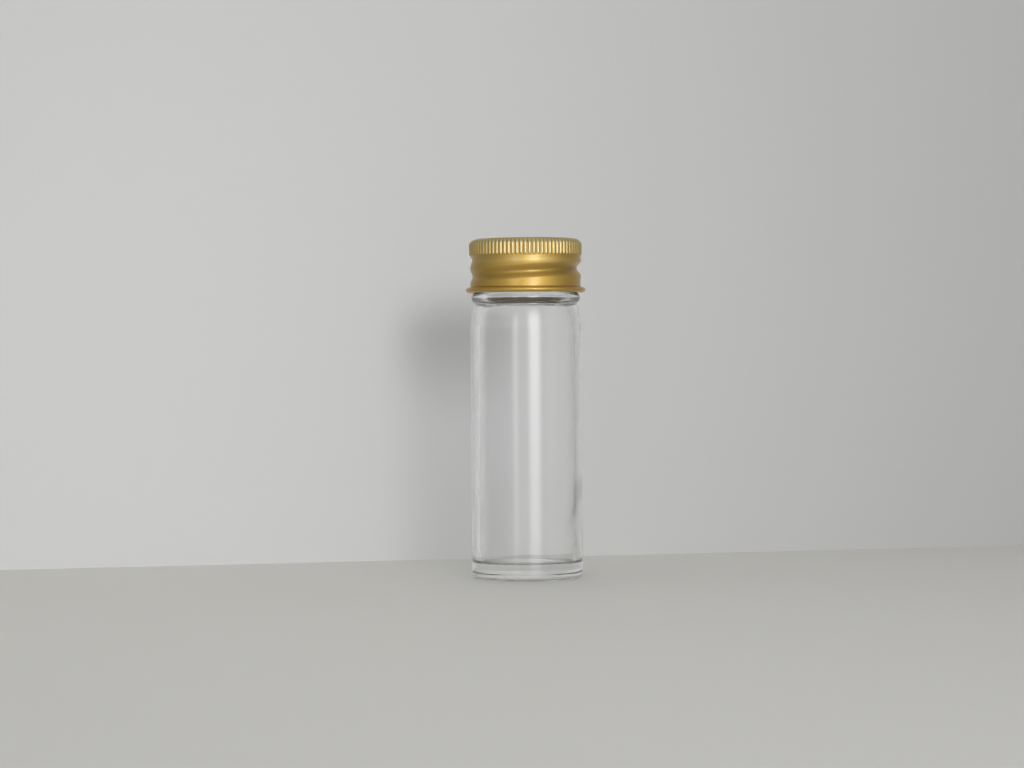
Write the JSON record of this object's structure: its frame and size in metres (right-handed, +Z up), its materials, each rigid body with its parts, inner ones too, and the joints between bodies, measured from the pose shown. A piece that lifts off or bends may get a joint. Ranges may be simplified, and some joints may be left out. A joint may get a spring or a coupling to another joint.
{
  "type": "glass sample vial",
  "caption": "Clear round glass vial with a thick base, a ringed neck and a knurled gold metal screw cap with a rolled thread and a white sealing disc inside.",
  "frame": {"origin": "centre of the surface that the vial stands on, on the vial's axis", "axes": "+Z up along the vial's axis towards the cap, -Y towards the viewer's side where the rolled thread is half way up the cap, +X to the right"},
  "size_m": [0.0238, 0.0238, 0.0672],
  "materials": {
    "clear_glass": "clear, smooth, faintly wavy moulded soda-lime glass",
    "gold_cap": "satin gold-lacquered sheet metal",
    "white_liner": "matte white foamed plastic"
  },
  "bodies": {
    "vial": {"vial": "clear_glass"},
    "liner": {"liner": "white_liner"},
    "cap": {"cap": "gold_cap"}
  },
  "joints": [
    {"name": "cap_lift", "type": "slide", "parent": "vial", "child": "liner", "axis": [0, 0, 1], "range_m": [0, 0.01428]},
    {"name": "cap_turn", "type": "hinge", "parent": "liner", "child": "cap", "pos_m": [0, 0, 0.062], "axis": [0, 0, 1], "range_deg": [0, 1620]}
  ],
  "couplings": [
    {"joint": "cap_turn", "follows": "cap_lift", "rad_per_m": 1979}
  ]
}
